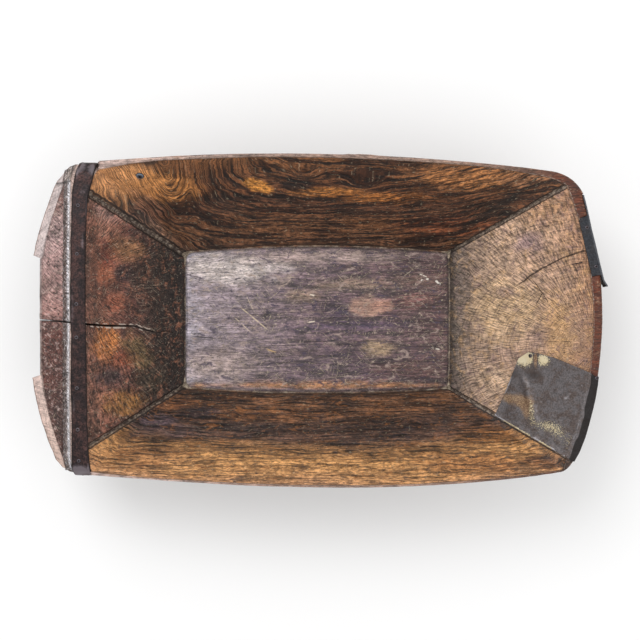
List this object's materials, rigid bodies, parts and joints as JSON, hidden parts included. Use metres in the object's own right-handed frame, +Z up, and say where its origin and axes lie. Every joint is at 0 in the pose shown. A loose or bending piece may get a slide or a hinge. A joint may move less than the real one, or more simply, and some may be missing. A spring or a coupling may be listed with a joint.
{
  "type": "dough trough",
  "caption": "Open rectangular dough trough hewn from one log, with sloping walls, an end lug, an iron strap, a folded rim plate and a tin corner patch.",
  "frame": {"origin": "on the ground, at the middle of the overall length and width", "axes": "+X along the log from the lug end to the plated end, +Y to the far long side, +Z up"},
  "size_m": [0.874, 0.504, 0.2048],
  "materials": {
    "log": "hand-hewn softwood, oiled and worn, amber to grey-brown, darker in the corners",
    "strap_iron": "forged strap, dark brown-black with light rust and a dull sheen",
    "plate_iron": "slate-grey sheet iron, dull, darker at the folded edge",
    "patch_tin": "charcoal tin sheet with remnants of yellow paint and brown stains",
    "nail_iron": "hand-forged nail heads, dark with worn bright points"
  },
  "bodies": {
    "root": {"trough_body": "log", "end_strap": "strap_iron", "strap_nails": "nail_iron", "strap_leg_nails": "nail_iron", "rim_plate": "plate_iron", "rim_plate_tab_nails": "nail_iron", "rim_plate_face_nails": "nail_iron", "rim_plate_clench_nail": "nail_iron", "corner_patch": "patch_tin", "corner_patch_nails": "nail_iron", "side_wall_nail": "nail_iron"}
  },
  "joints": []
}
